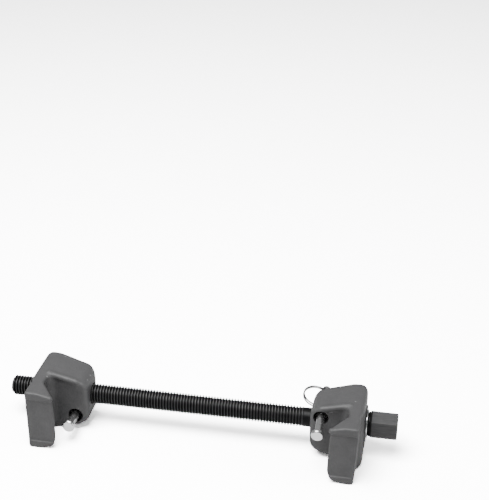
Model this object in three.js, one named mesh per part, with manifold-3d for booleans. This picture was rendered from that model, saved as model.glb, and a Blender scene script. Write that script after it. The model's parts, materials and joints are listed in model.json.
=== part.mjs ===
// Coil spring compressor: two forged hook jaws on one forcing screw.
// The screw runs along X with its hex head at +X, both fingers reach along -Y, Z is up.
// Units are millimetres. The origin is the middle of the bounding box's floor.

import * as THREE from 'three';
import { mergeVertices } from 'three/addons/utils/BufferGeometryUtils.js';
import Module from 'manifold-3d';

const wasm = await Module();
wasm.setup();

// ---- Driving dimensions -----------------------------------------------------------------

// Forcing screw, 12 inches over all, 5/8-11 thread drawn at its major diameter.
const SCREW_LENGTH = 304.8;
const THREAD_DIAMETER = 15.875;
const SHANK_RELIEF = 0.74;
const SHANK_LENGTH = 52;
const SCREW_TIP_CHAMFER = 1.6;
const HEX_ACROSS_FLATS = 19.05;
const HEX_LENGTH = 20.5;
const HEX_CHAMFER = 1.4;
const HEX_ROLL = THREE.MathUtils.degToRad(19);
const COLLAR_LIP = 1.36;
const COLLAR_LENGTH = 1.5;
const TIP_STAND_OUT = 25;

// Washers under the head. A band is the width of metal from the bore to the rim.
const THRUST_WASHER_BAND = 2.3;
const THRUST_WASHER_THICKNESS = 0.8;
const LOAD_WASHER_BAND = 5.86;
const LOAD_WASHER_THICKNESS = 1.8;

// Jaws. "Out" is along the screw from the jaw's inner face, "reach" is towards the finger tip.
const JAW_WIDTH = 40.8;
const JAW_REACH = 44.5;
const JAW_FRONT = 15;
const JAW_BACK_INNER = 11.5;
const JAW_BACK_OUTER = 16;
const JAW_HALF_HEIGHT = 24.5;
const FOOT_LENGTH = 11;
const SPOTFACE_DEPTH = 1.3;
const NECK_THICKNESS = 7.8;
const FINGER_TIP_THICKNESS = 3.2;
const FINGER_LENGTH = 19.5;
const FINGER_STEP = 3;
const FINGER_STEP_FROM = 20;
const FINGER_STEP_TO = 28;
const FINGER_CORNER_OUT = 2.8;
const FINGER_CORNER_DOWN = 5.2;
const SEAT_ROOF = 28;

// Corner roundings of the jaw: its plan first, then its elevation.
const BACK_INNER_ROUND = 8;
const BACK_OUTER_ROUND = 6;
const FRONT_INNER_ROUND = 3;
const STEP_ROUND = 3;
const FINGER_OUTER_ROUND = 4;
const FINGER_INNER_ROUND = 1.4;
const FINGER_BACK_ROUND = 1;
const SEAT_ROOF_ROUND = 4;
const SEAT_ROOT_ROUND = 6.5;
const NOSE_ROUND = 9;
const FOOT_ROUND = 4;

// Lock pins, their rings and their ball detents.
const PIN_DIAMETER = 6.35;
const PIN_TAIL = 3.88;
const PIN_HEAD_DIAMETER = 9.5;
const PIN_HEAD_LENGTH = 3.2;
const PLAIN_PIN_OUT = 8.4;
const THREADED_PIN_OUT = 10.4;
const PIN_TILT = THREE.MathUtils.degToRad(5);
const PIN_STAND_OUT = 22;
const PIN_WALL = 1.2;
const PIN_COVER = 0.72;
const THREADED_PIN_DRAWN_BACK = 3;
const COUNTERBORE_DEPTH = 6;
const RING_DIAMETER = 22;
const RING_WIRE = 1.1;
const RING_WIDTH = 2.2;
const RING_HOLE_DIAMETER = 3.6;
const RING_HOLE_FROM_TAIL = 4.2;
const PLAIN_RING_LEAN = THREE.MathUtils.degToRad(45);
const PLAIN_RING_SWING = THREE.MathUtils.degToRad(8);
const BALL_DIAMETER = 3.175;
const BALL_STAND_OUT = 0.2;
const DETENT_FROM_HEAD = 24;
const DETENT_POCKET_WALL = 1;
const DETENT_SPRING_WIRE = 0.45;

// Clearances.
const FACE_GAP = 0.3;
const SCREW_BORE_CLEARANCE = 0.4;
const THREAD_CLEARANCE = 0.3;
const PIN_BORE_CLEARANCE = 0.3;
const COUNTERBORE_CLEARANCE = 0.6;
const WASHER_BORE_CLEARANCE = 0.5;
const SPOTFACE_CLEARANCE = 0.8;
const BALL_CLEARANCE = 0.12;
const SPRING_END_GAP = 0.1;
const RING_FLOOR_GAP = 0.1;

// How far a cutting tool runs past the face that it cuts, and how finely round shapes are cut up.
const CUT_MARGIN = 1;
const TURNED_SIDES = 48;
const PIN_SIDES = 32;
const SMALL_SIDES = 24;
const RING_SIDES = 72;
const BALL_RINGS = 12;
const CORNER_SEGMENTS = 5;

// ---- Derived sizes and places -------------------------------------------------------------

const SHANK_DIAMETER = THREAD_DIAMETER - 2 * SHANK_RELIEF;
const COLLAR_DIAMETER = THREAD_DIAMETER + 2 * COLLAR_LIP;
const SCREW_BORE_DIAMETER = THREAD_DIAMETER + 2 * SCREW_BORE_CLEARANCE;
const THREADED_BORE_DIAMETER = THREAD_DIAMETER + 2 * THREAD_CLEARANCE;
const WASHER_BORE_DIAMETER = THREAD_DIAMETER + 2 * WASHER_BORE_CLEARANCE;
const THRUST_WASHER_DIAMETER = WASHER_BORE_DIAMETER + 2 * THRUST_WASHER_BAND;
const LOAD_WASHER_DIAMETER = WASHER_BORE_DIAMETER + 2 * LOAD_WASHER_BAND;
const SPOTFACE_DIAMETER = LOAD_WASHER_DIAMETER + 2 * SPOTFACE_CLEARANCE;
const PIN_BORE_DIAMETER = PIN_DIAMETER + 2 * PIN_BORE_CLEARANCE;
const COUNTERBORE_DIAMETER = PIN_HEAD_DIAMETER + 2 * COUNTERBORE_CLEARANCE;
const RING_CENTRE_RADIUS = (RING_DIAMETER - RING_WIRE) / 2;

// The pin's bore passes over the screw's bore with PIN_WALL between them, PIN_COVER under the
// jaw's inner end, and the pin is long enough to show its tail behind the jaw.
const PIN_UP_AT_SCREW = (SCREW_BORE_DIAMETER + PIN_BORE_DIAMETER) / 2 + PIN_WALL;
const PIN_UP_AT_FRONT = PIN_UP_AT_SCREW - JAW_FRONT * Math.tan(PIN_TILT);
const JAW_INNER_HALF_HEIGHT = PIN_UP_AT_SCREW + PIN_BORE_DIAMETER / 2 + PIN_COVER;
const PIN_LENGTH = PIN_STAND_OUT + (JAW_FRONT + JAW_BACK_OUTER) / Math.cos(PIN_TILT) + PIN_TAIL;
const RING_HOLE_AT = PIN_LENGTH - RING_HOLE_FROM_TAIL;

// The ball pocket's floor and the ball's centre, above the pin's axis.
const DETENT_POCKET_FLOOR = DETENT_POCKET_WALL - PIN_DIAMETER / 2;
const DETENT_BALL_UP = (PIN_DIAMETER - BALL_DIAMETER) / 2 + BALL_STAND_OUT;

// Along the screw, measured from its tip.
const COLLAR_AT = SCREW_LENGTH - HEX_LENGTH - COLLAR_LENGTH;
const THREAD_END = COLLAR_AT - SHANK_LENGTH;
const THRUST_WASHER_AT = COLLAR_AT - FACE_GAP - THRUST_WASHER_THICKNESS;
const LOAD_WASHER_AT = THRUST_WASHER_AT - FACE_GAP - LOAD_WASHER_THICKNESS;
const PLAIN_JAW_AT = LOAD_WASHER_AT - FACE_GAP + SPOTFACE_DEPTH - JAW_WIDTH;
const THREADED_JAW_AT = TIP_STAND_OUT + JAW_WIDTH;

// ---- Shape helpers ----------------------------------------------------------------------

// A closed outline from [x, y, radius] corners, each corner rounded by its own radius as far as
// half of the shorter side next to it allows.
function roundedOutline(corners) {
  const shape = new THREE.Shape();
  corners.forEach(([x, y, radius], index) => {
    const corner = new THREE.Vector2(x, y);
    const before = new THREE.Vector2(...corners.at(index - 1));
    const after = new THREE.Vector2(...corners[(index + 1) % corners.length]);
    const toBefore = before.sub(corner);
    const toAfter = after.sub(corner);
    const halfAngle = toBefore.angleTo(toAfter) / 2;
    const shorterSide = Math.min(toBefore.length(), toAfter.length());
    const setback = Math.min(radius / Math.tan(halfAngle), shorterSide / 2);
    const start = corner.clone().add(toBefore.setLength(setback));
    const end = corner.clone().add(toAfter.setLength(setback));
    if (index === 0) shape.moveTo(start.x, start.y);
    else shape.lineTo(start.x, start.y);
    if (setback > 0) shape.quadraticCurveTo(corner.x, corner.y, end.x, end.y);
  });
  return shape;
}

// A solid manifold from any closed three.js geometry.
function solid(geometry) {
  const bare = geometry.clone();
  bare.deleteAttribute('normal');
  bare.deleteAttribute('uv');
  const merged = mergeVertices(bare, 1e-4);
  const mesh = new wasm.Mesh({
    numProp: 3,
    vertProperties: new Float32Array(merged.attributes.position.array),
    triVerts: new Uint32Array(merged.index.array),
  });
  mesh.merge();
  return new wasm.Manifold(mesh);
}

function geometryOf(manifold) {
  const mesh = manifold.getMesh();
  const geometry = new THREE.BufferGeometry();
  geometry.setAttribute('position', new THREE.BufferAttribute(mesh.vertProperties, 3));
  geometry.setIndex(new THREE.BufferAttribute(mesh.triVerts, 1));
  return geometry;
}

// An outline in (out, reach) pulled up through the jaw's height.
function planPrism(outline, halfHeight) {
  const settings = { depth: 2 * halfHeight, bevelEnabled: false, curveSegments: CORNER_SEGMENTS };
  const prism = new THREE.ExtrudeGeometry(outline, settings);
  return solid(prism.translate(0, 0, -halfHeight));
}

// An outline in (out, up) pulled along Y from one reach to another.
function elevationPrism(outline, fromReach, toReach) {
  const depth = toReach - fromReach;
  const settings = { depth, bevelEnabled: false, curveSegments: CORNER_SEGMENTS };
  const prism = new THREE.ExtrudeGeometry(outline, settings);
  return solid(prism.rotateX(Math.PI / 2).translate(0, -fromReach, 0));
}

function cylinderX(radius, fromX, toX, sides = TURNED_SIDES) {
  const cylinder = new THREE.CylinderGeometry(radius, radius, toX - fromX, sides);
  return cylinder.rotateZ(-Math.PI / 2).translate((fromX + toX) / 2, 0, 0);
}

function cylinderY(radius, fromY, toY, sides = PIN_SIDES) {
  const cylinder = new THREE.CylinderGeometry(radius, radius, toY - fromY, sides);
  return cylinder.translate(0, (fromY + toY) / 2, 0);
}

// A ring or disc turned about X from [radius, x] points, closed on itself where it has a bore.
function turnedX(points) {
  const profile = points.map(([radius, x]) => new THREE.Vector2(radius, x));
  return new THREE.LatheGeometry(profile, TURNED_SIDES).rotateZ(-Math.PI / 2);
}

function washer(outerDiameter, boreDiameter, thickness) {
  const outer = outerDiameter / 2;
  const bore = boreDiameter / 2;
  return turnedX([[bore, 0], [outer, 0], [outer, thickness], [bore, thickness], [bore, 0]]);
}

function finish(name, color, roughness, metalness) {
  return new THREE.MeshStandardMaterial({ name, color, roughness, metalness });
}

function part(name, geometry, material) {
  const mesh = new THREE.Mesh(geometry, material);
  mesh.name = name;
  return mesh;
}

// ---- Forcing screw ----------------------------------------------------------------------

function forcingScrew() {
  const thread = THREAD_DIAMETER / 2;
  const shank = SHANK_DIAMETER / 2;
  const runOut = thread - shank;
  const shaft = solid(turnedX([
    [0, 0],
    [thread - SCREW_TIP_CHAMFER, 0],
    [thread, SCREW_TIP_CHAMFER],
    [thread, THREAD_END - runOut],
    [shank, THREAD_END],
    [shank, COLLAR_AT],
    [COLLAR_DIAMETER / 2, COLLAR_AT],
    [COLLAR_DIAMETER / 2, COLLAR_AT + COLLAR_LENGTH + HEX_CHAMFER],
    [0, COLLAR_AT + COLLAR_LENGTH + HEX_CHAMFER],
  ]));
  const corner = HEX_ACROSS_FLATS / 2 / Math.cos(Math.PI / 6);
  const hexStart = COLLAR_AT + COLLAR_LENGTH;
  const hexBar = solid(cylinderX(corner, hexStart, SCREW_LENGTH, 6).rotateX(HEX_ROLL));
  const chamferCone = solid(turnedX([
    [0, hexStart],
    [corner - HEX_CHAMFER, hexStart],
    [corner, hexStart + HEX_CHAMFER],
    [corner, SCREW_LENGTH - HEX_CHAMFER],
    [corner - HEX_CHAMFER, SCREW_LENGTH],
    [0, SCREW_LENGTH],
  ]));
  return geometryOf(shaft.add(hexBar.intersect(chamferCone)));
}

// ---- Jaw --------------------------------------------------------------------------------

// Where a lock pin's bore meets the jaw's front face, with +Y down the bore towards the tail.
function pinFrame(pinOut) {
  const mouth = new THREE.Vector3(pinOut, -JAW_FRONT, PIN_UP_AT_FRONT);
  const tilt = new THREE.Quaternion().setFromEuler(new THREE.Euler(PIN_TILT, 0, 0));
  return new THREE.Matrix4().compose(mouth, tilt, new THREE.Vector3(1, 1, 1));
}

// In the jaw's own frame the inner face is at X = 0, the finger reaches along -Y and the lock
// pin is above the screw. The plan is drawn in (out, -reach) and the elevation in (out, up).
// A spotface of the given depth is sunk in the outer face for the load washer.
function jaw(boreDiameter, pinOut, spotfaceDepth) {
  const outer = JAW_WIDTH;
  const fingerOuter = JAW_WIDTH - FINGER_STEP;
  const neck = fingerOuter - NECK_THICKNESS;
  const fingerTip = fingerOuter - FINGER_LENGTH;
  const fingerBack = JAW_REACH - FINGER_TIP_THICKNESS;
  const footEdge = JAW_WIDTH - FOOT_LENGTH;

  const plan = roundedOutline([
    [0, -JAW_FRONT, FRONT_INNER_ROUND],
    [0, JAW_BACK_INNER, BACK_INNER_ROUND],
    [outer, JAW_BACK_OUTER, BACK_OUTER_ROUND],
    [outer, -FINGER_STEP_FROM, STEP_ROUND],
    [fingerOuter, -FINGER_STEP_TO, STEP_ROUND],
    [fingerOuter, -JAW_REACH, FINGER_OUTER_ROUND],
    [fingerTip, -JAW_REACH, FINGER_INNER_ROUND],
    [fingerTip, -fingerBack, FINGER_BACK_ROUND],
    [neck, -SEAT_ROOF, SEAT_ROOF_ROUND],
    [neck, -JAW_FRONT, SEAT_ROOT_ROUND],
  ]);
  const elevation = roundedOutline([
    [0, -JAW_INNER_HALF_HEIGHT, NOSE_ROUND],
    [footEdge, -JAW_HALF_HEIGHT, 0],
    [outer, -JAW_HALF_HEIGHT, FOOT_ROUND],
    [outer, JAW_HALF_HEIGHT, FOOT_ROUND],
    [footEdge, JAW_HALF_HEIGHT, 0],
    [0, JAW_INNER_HALF_HEIGHT, NOSE_ROUND],
  ]);
  const forging = planPrism(plan, JAW_HALF_HEIGHT + CUT_MARGIN)
    .intersect(elevationPrism(elevation, -JAW_BACK_OUTER - CUT_MARGIN, JAW_REACH + CUT_MARGIN));

  // The finger tip's inner corners are cut off above and below, behind the coil seat only.
  const taper = (JAW_HALF_HEIGHT - JAW_INNER_HALF_HEIGHT) / footEdge;
  const tipHeight = JAW_INNER_HALF_HEIGHT + taper * fingerTip;
  const cornerCut = (side) => elevationPrism(roundedOutline([
    [fingerTip - FINGER_CORNER_OUT, side * (tipHeight - 2 * FINGER_CORNER_DOWN), 0],
    [fingerTip + 2 * FINGER_CORNER_OUT, side * (tipHeight + FINGER_CORNER_DOWN), 0],
    [fingerTip - FINGER_CORNER_OUT, side * (tipHeight + FINGER_CORNER_DOWN), 0],
  ]), SEAT_ROOF, JAW_REACH + CUT_MARGIN);

  const screwBore = solid(cylinderX(boreDiameter / 2, -CUT_MARGIN, outer + CUT_MARGIN));
  const spotface = solid(cylinderX(SPOTFACE_DIAMETER / 2, outer - spotfaceDepth, outer + CUT_MARGIN));
  const throughJaw = 2 * (JAW_FRONT + JAW_BACK_OUTER);
  const pinBore = cylinderY(PIN_BORE_DIAMETER / 2, -JAW_FRONT, throughJaw);
  const counterbore = cylinderY(COUNTERBORE_DIAMETER / 2, -JAW_FRONT, COUNTERBORE_DEPTH);
  const pinHoles = solid(pinBore)
    .add(solid(counterbore))
    .transform(pinFrame(pinOut).toArray());
  return geometryOf(forging
    .subtract(cornerCut(1))
    .subtract(cornerCut(-1))
    .subtract(screwBore)
    .subtract(spotface)
    .subtract(pinHoles));
}

// ---- Lock pin, ring, ball and spring ------------------------------------------------------

// The pin's own frame: the head's face is at Y = 0 and the tail is at +Y.
function lockPin(ringHoleAngle) {
  const shaft = solid(cylinderY(PIN_DIAMETER / 2, PIN_HEAD_LENGTH / 2, PIN_LENGTH));
  const head = solid(cylinderY(PIN_HEAD_DIAMETER / 2, 0, PIN_HEAD_LENGTH));
  const holeCutter = cylinderX(RING_HOLE_DIAMETER / 2, -PIN_DIAMETER, PIN_DIAMETER, SMALL_SIDES);
  const ringHole = solid(holeCutter.rotateY(ringHoleAngle).translate(0, RING_HOLE_AT, 0));
  const pocketRadius = BALL_DIAMETER / 2 + BALL_CLEARANCE;
  const pocket = new THREE.CylinderGeometry(pocketRadius, pocketRadius, PIN_DIAMETER, SMALL_SIDES);
  const ballPocket = solid(pocket.rotateX(Math.PI / 2)
    .translate(0, DETENT_FROM_HEAD, PIN_DIAMETER / 2 + DETENT_POCKET_FLOOR));
  return geometryOf(shaft.add(head).subtract(ringHole).subtract(ballPocket));
}

function detentBall() {
  const ball = new THREE.SphereGeometry(BALL_DIAMETER / 2, SMALL_SIDES, BALL_RINGS);
  return ball.rotateX(Math.PI / 2).translate(0, DETENT_FROM_HEAD, DETENT_BALL_UP);
}

// The detent spring as its closed outer sleeve, between the pocket floor and the ball.
function detentSpring() {
  const low = DETENT_POCKET_FLOOR + SPRING_END_GAP;
  const high = DETENT_BALL_UP - BALL_DIAMETER / 2 - SPRING_END_GAP;
  const outer = (BALL_DIAMETER - DETENT_SPRING_WIRE) / 2;
  const inner = outer - DETENT_SPRING_WIRE;
  const profile = [[inner, low], [outer, low], [outer, high], [inner, high], [inner, low]]
    .map(([radius, z]) => new THREE.Vector2(radius, z));
  const sleeve = new THREE.LatheGeometry(profile, SMALL_SIDES);
  return sleeve.rotateX(Math.PI / 2).translate(0, DETENT_FROM_HEAD, 0);
}

// The split ring as one flat-sided loop through the pin's ring hole, swung about that hole.
function pinRing(holeAngle, swing) {
  const inner = RING_CENTRE_RADIUS - RING_WIRE / 2;
  const outer = RING_CENTRE_RADIUS + RING_WIRE / 2;
  const half = RING_WIDTH / 2;
  const ease = RING_WIRE / 3;
  const profile = [
    [inner, -half + ease], [inner + ease, -half], [outer - ease, -half], [outer, -half + ease],
    [outer, half - ease], [outer - ease, half], [inner + ease, half], [inner, half - ease],
    [inner, -half + ease],
  ].map(([radius, y]) => new THREE.Vector2(radius, y));
  return new THREE.LatheGeometry(profile, RING_SIDES)
    .translate(0, 0, -RING_CENTRE_RADIUS)
    .rotateX(swing)
    .rotateY(holeAngle)
    .translate(0, RING_HOLE_AT, 0);
}

// ---- Finishes ---------------------------------------------------------------------------

const BLACK_OXIDE = finish('black_oxide', 0x26262a, 0.42, 0.85);
const FORGED_GREY = finish('forged_grey', 0x5f5f61, 0.58, 0.3);
const BRIGHT_ZINC = finish('bright_zinc', 0xd4d6d8, 0.24, 1);
const BLACK_WASHER = finish('black_washer', 0x161617, 0.5, 0.7);
const SPRING_STEEL = finish('spring_steel', 0xa8aaad, 0.35, 1);

// ---- Assembly ---------------------------------------------------------------------------

// Everything that slides in one jaw, in that jaw's frame, with the pin drawn back by drawnBack.
function pinSet(name, pinOut, drawnBack, holeAngle, ringSwing) {
  const group = new THREE.Group();
  group.applyMatrix4(pinFrame(pinOut));
  group.translateY(drawnBack - PIN_STAND_OUT);
  group.add(
    part(`${name}_lock_pin`, lockPin(holeAngle), BRIGHT_ZINC),
    part(`${name}_pin_ring`, pinRing(holeAngle, ringSwing), BRIGHT_ZINC),
    part(`${name}_detent_ball`, detentBall(), SPRING_STEEL),
    part(`${name}_detent_spring`, detentSpring(), SPRING_STEEL),
  );
  return group;
}

// The threaded jaw's ring leans on the floor behind the jaw: the swing that brings its outer
// edge down to the jaw's feet.
function leaningSwing(drawnBack) {
  const alongPin = RING_HOLE_AT - PIN_STAND_OUT + drawnBack;
  const holeDown = PIN_UP_AT_FRONT + alongPin * Math.sin(PIN_TILT);
  const holeHeight = JAW_HALF_HEIGHT - holeDown - RING_FLOOR_GAP;
  const farEdge = RING_CENTRE_RADIUS + RING_DIAMETER / 2;
  const halfWidth = RING_WIDTH / 2;
  const lean = Math.acos(holeHeight / Math.hypot(farEdge, halfWidth)) + Math.atan2(halfWidth, farEdge);
  return lean + PIN_TILT;
}

const screw = part('forcing_screw', forcingScrew(), BLACK_OXIDE);

const thrustWasher = part(
  'thrust_washer',
  washer(THRUST_WASHER_DIAMETER, WASHER_BORE_DIAMETER, THRUST_WASHER_THICKNESS),
  BRIGHT_ZINC,
);
thrustWasher.position.x = THRUST_WASHER_AT;

const loadWasher = part(
  'load_washer',
  washer(LOAD_WASHER_DIAMETER, WASHER_BORE_DIAMETER, LOAD_WASHER_THICKNESS),
  BLACK_WASHER,
);
loadWasher.position.x = LOAD_WASHER_AT;

const plainJaw = new THREE.Group();
plainJaw.position.x = PLAIN_JAW_AT;
plainJaw.add(
  part('plain_jaw', jaw(SCREW_BORE_DIAMETER, PLAIN_PIN_OUT, SPOTFACE_DEPTH), FORGED_GREY),
  pinSet('plain_jaw', PLAIN_PIN_OUT, 0, PLAIN_RING_LEAN, PLAIN_RING_SWING),
);

// The same forging turned half round, so its pin is below the screw and it faces the other jaw.
// It bears on the screw's thread alone, so it has no spotface.
const threadedJaw = new THREE.Group();
threadedJaw.position.x = THREADED_JAW_AT;
threadedJaw.rotation.y = Math.PI;
const threadedRingSwing = leaningSwing(THREADED_PIN_DRAWN_BACK);
threadedJaw.add(
  part('threaded_jaw', jaw(THREADED_BORE_DIAMETER, THREADED_PIN_OUT, 0), FORGED_GREY),
  pinSet('threaded_jaw', THREADED_PIN_OUT, THREADED_PIN_DRAWN_BACK, Math.PI, threadedRingSwing),
);

const tool = new THREE.Group();
tool.add(screw, thrustWasher, loadWasher, plainJaw, threadedJaw);

// Put the origin at the middle of the bounding box's floor.
tool.updateMatrixWorld(true);
const box = new THREE.Box3().setFromObject(tool, true);
const middle = box.getCenter(new THREE.Vector3());
tool.position.set(-middle.x, -middle.y, -box.min.z);
tool.updateMatrixWorld(true);

export default tool;
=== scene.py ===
# A coil spring compressor lying on a pale floor: two forged hook jaws on one forcing screw,
# each with a slide-in lock pin, its pull ring and its ball detent. Lengths are in metres.

import json
import math

import bmesh
import bpy
import numpy as np
import openvdb
from mathutils import Matrix, Vector


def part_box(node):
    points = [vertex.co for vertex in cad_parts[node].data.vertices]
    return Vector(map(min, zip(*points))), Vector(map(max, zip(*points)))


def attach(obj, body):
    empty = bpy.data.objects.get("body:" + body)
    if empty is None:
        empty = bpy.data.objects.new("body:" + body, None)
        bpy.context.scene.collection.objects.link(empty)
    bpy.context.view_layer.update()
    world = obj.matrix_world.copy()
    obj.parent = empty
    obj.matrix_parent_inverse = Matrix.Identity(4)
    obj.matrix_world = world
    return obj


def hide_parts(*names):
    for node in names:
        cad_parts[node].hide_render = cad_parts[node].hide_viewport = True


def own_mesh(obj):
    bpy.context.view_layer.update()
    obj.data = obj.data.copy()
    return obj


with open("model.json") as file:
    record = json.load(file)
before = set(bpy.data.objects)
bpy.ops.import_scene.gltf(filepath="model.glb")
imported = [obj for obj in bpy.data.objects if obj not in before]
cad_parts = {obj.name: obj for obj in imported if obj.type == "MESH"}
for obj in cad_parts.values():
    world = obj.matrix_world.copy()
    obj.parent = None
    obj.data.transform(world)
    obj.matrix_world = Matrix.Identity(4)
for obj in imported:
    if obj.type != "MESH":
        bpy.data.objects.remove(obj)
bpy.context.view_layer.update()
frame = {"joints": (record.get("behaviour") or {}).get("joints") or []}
joints = {joint["name"]: joint for joint in frame["joints"]}

# ---- Camera -----------------------------------------------------------------------------
# A longish lens on a stand, looking down across the tool from the side that both fingers
# reach towards. It is placed from the screw's axis and the screw's tip.

screw_low, screw_high = (Vector(corner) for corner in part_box("forcing_screw"))
SCREW_TIP = screw_low.x
SCREW_AXIS = Vector(joints["screw_turn"]["pos_m"])
SCREW_AXIS.x = SCREW_TIP
CAMERA_FROM_TIP = Vector((0.3267, -0.7214, 0.5129))
CAMERA_AIM = Vector((-0.1692, 0.8748, -0.4540))
LENS_LENGTH = 82.8
SENSOR_WIDTH = 36

stand = bpy.data.cameras.new("studio_camera")
stand.lens = LENS_LENGTH
stand.sensor_width = SENSOR_WIDTH
camera = bpy.data.objects.new("studio_camera", stand)
camera.location = SCREW_AXIS + CAMERA_FROM_TIP
camera.rotation_euler = CAMERA_AIM.to_track_quat("-Z", "Y").to_euler()
bpy.context.collection.objects.link(camera)
bpy.context.scene.camera = camera

# ---- Jaws -------------------------------------------------------------------------------
# Drop-forged carbon steel hooks, blasted and phosphated to a satin grey. The forging's edges
# are soft; the screw bore, the washer's spotface and the lock pin's bore are machined after.

FORGED_STEP = 0.00045
EDGE_ROUND = 0.0015
FINGER_EDGE_ROUND = 0.0011
JAW_HALF_HEIGHT = 0.0245
JAW_BACK = 0.016
FINGER_REACH = 0.0445
JAW_FRONT = 0.015
SEAT_ROOF = 0.028
FINGER_FACE_RECESS = 0.0010
FINGER_BEAD_RADIUS = 0.0016
SEAT_RIM_RADIUS = 0.0019
FORGING_SWELL = 0.0005
FACE_WAVE = 0.00012


def rounded_outline(corners, steps=7):
    """Points of a closed outline from (x, y, radius) corners, each rounded by a true arc."""
    points = []
    for index, (x, y, radius) in enumerate(corners):
        corner = Vector((x, y))
        before = (Vector(corners[index - 1][:2]) - corner).normalized()
        after = (Vector(corners[(index + 1) % len(corners)][:2]) - corner).normalized()
        if radius == 0:
            points.append(corner)
            continue
        half = before.angle(after) / 2
        middle = corner + (before + after).normalized() * radius / math.sin(half)
        start = corner + before * radius / math.tan(half) - middle
        end = corner + after * radius / math.tan(half) - middle
        for step in range(steps):
            share = step / (steps - 1)
            points.append(middle + (start.lerp(end, share)).normalized() * radius)
    return np.array([list(point) for point in points])


def outline_distance(points, x, y):
    """Signed distance from each (x, y) to a closed outline, negative inside."""
    nearest = np.full(x.shape, np.inf)
    inside = np.zeros(x.shape, bool)
    for (ax, ay), (bx, by) in zip(points, np.roll(points, 1, axis=0)):
        ex, ey = bx - ax, by - ay
        share = np.clip(((x - ax) * ex + (y - ay) * ey) / max(ex * ex + ey * ey, 1e-18), 0, 1)
        nearest = np.minimum(nearest, (x - ax - share * ex) ** 2 + (y - ay - share * ey) ** 2)
        crosses = (ay > y) != (by > y)
        if ay != by:
            inside ^= crosses & (x < ax + (y - ay) * ex / ey)
    return np.where(inside, -1, 1) * np.sqrt(nearest)


def ease(low, high, value):
    share = np.clip((value - low) / (high - low), 0, 1)
    return share * share * (3 - 2 * share)


def rounded_meet(first, second, radius):
    """Distance to what two shapes share, with the edge between them rounded."""
    a = first + radius
    b = second + radius
    return np.minimum(np.maximum(a, b), 0) + np.hypot(np.maximum(a, 0), np.maximum(b, 0)) - radius


def rounded_cut(shape, cutter, radius):
    return rounded_meet(shape, -cutter, radius)


def forging_field(out, reach, up, width, bow, lean, spread, top):
    """Signed distance to the forging, from its inner face, the screw's axis and mid height."""
    finger_outer = width - 0.003
    neck = finger_outer - 0.0078
    finger_tip = finger_outer - 0.0195
    foot_edge = width - 0.011
    nose_height = 0.0172
    half_height = JAW_HALF_HEIGHT
    plan = rounded_outline([
        (0, -JAW_FRONT, 0.003),
        (0, 0.0119, 0.008),
        (width, 0.0164, 0.006),
        (width, -0.0215, 0.0035),
        (finger_outer, -0.0265, 0.003),
        (finger_outer, -FINGER_REACH, 0.0018),
        (finger_tip, -FINGER_REACH, 0.0014),
        (finger_tip, 0.0032 - FINGER_REACH, 0.001),
        (neck, -SEAT_ROOF, 0.004),
        (neck, -JAW_FRONT, 0.0065),
    ])
    elevation = rounded_outline([
        (-0.0005, -nose_height, 0.0105),
        (foot_edge, -half_height, 0.010),
        (width + 0.0005, -half_height, 0.004),
        (width + 0.0005, half_height, 0.004),
        (foot_edge, half_height, 0.010),
        (-0.0005, nose_height, 0.0105),
    ])
    on_finger = ease(0.018, 0.032, reach)
    towards_tip = 1 - ease(finger_tip, neck, out)
    outer_side = ease(neck, finger_outer, out)
    plan_distance = outline_distance(plan, out[:, :, 0], -reach[:, :, 0])
    shift = (bow * (up / 0.020) ** 2 * towards_tip + lean * up + spread * outer_side) * on_finger
    plan_distance = sampled_along_out(plan_distance, out, shift)
    elevation_distance = outline_distance(elevation, out[:, 0, :], up[:, 0, :])
    elevation_distance = elevation_distance[:, None, :] + 0 * reach
    edge = EDGE_ROUND + (FINGER_EDGE_ROUND - EDGE_ROUND) * ease(0.024, 0.034, reach)
    body = rounded_meet(plan_distance, elevation_distance, edge)

    tip_height = nose_height + (half_height - nose_height) * finger_tip / foot_edge
    slope = Vector((0.0052, 0.0028)).normalized()
    at_foot = up * top < 0
    corner_cut = (out - finger_tip) * -slope.x + (np.abs(up) - tip_height) * slope.y
    corner_cut = -(corner_cut + np.where(at_foot, 0.0036, 0.0022) * slope.y)
    body = rounded_cut(body, np.maximum(corner_cut, SEAT_ROOF - reach), 0.0011)

    face = np.maximum(FINGER_REACH - FINGER_FACE_RECESS - reach, np.abs(up) - tip_height + 0.0028)
    body = rounded_cut(body, face, 0.0005)
    bead_start = finger_tip + 0.0012 + 0.0026 * at_foot
    past_bead = np.maximum(np.maximum(bead_start - out, out - finger_outer + 0.0034), 0)
    bead_height = tip_height - 0.0013 + (out - finger_tip) * 0.12
    bead_radius = FINGER_BEAD_RADIUS - 0.0004 * at_foot
    bead_reach = FINGER_REACH - FINGER_BEAD_RADIUS - 0.0001 * at_foot
    bead = np.sqrt((reach - bead_reach) ** 2 + (np.abs(up) - bead_height) ** 2
                   + past_bead ** 2) - bead_radius
    body = softly_joined(body, bead, 0.0005)

    rim_height = nose_height + (half_height - nose_height) * np.clip(out / foot_edge, 0, 1)
    past_rim = np.maximum(np.maximum(0.0085 - out, out - neck), 0)
    rim = np.sqrt((reach - JAW_FRONT + 0.0013) ** 2 + (np.abs(up) - rim_height + 0.0012) ** 2
                  + past_rim ** 2) - SEAT_RIM_RADIUS
    body = softly_joined(body, rim, 0.0016) - FORGING_SWELL
    return np.maximum(body, 0.0001 - up * top - half_height)


def softly_joined(first, second, blend):
    """Distance to two shapes together, with the valley between them filled in smoothly."""
    near = np.clip(blend - np.abs(first - second), 0, None)
    return np.minimum(first, second) - near * near / (4 * blend)


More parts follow.
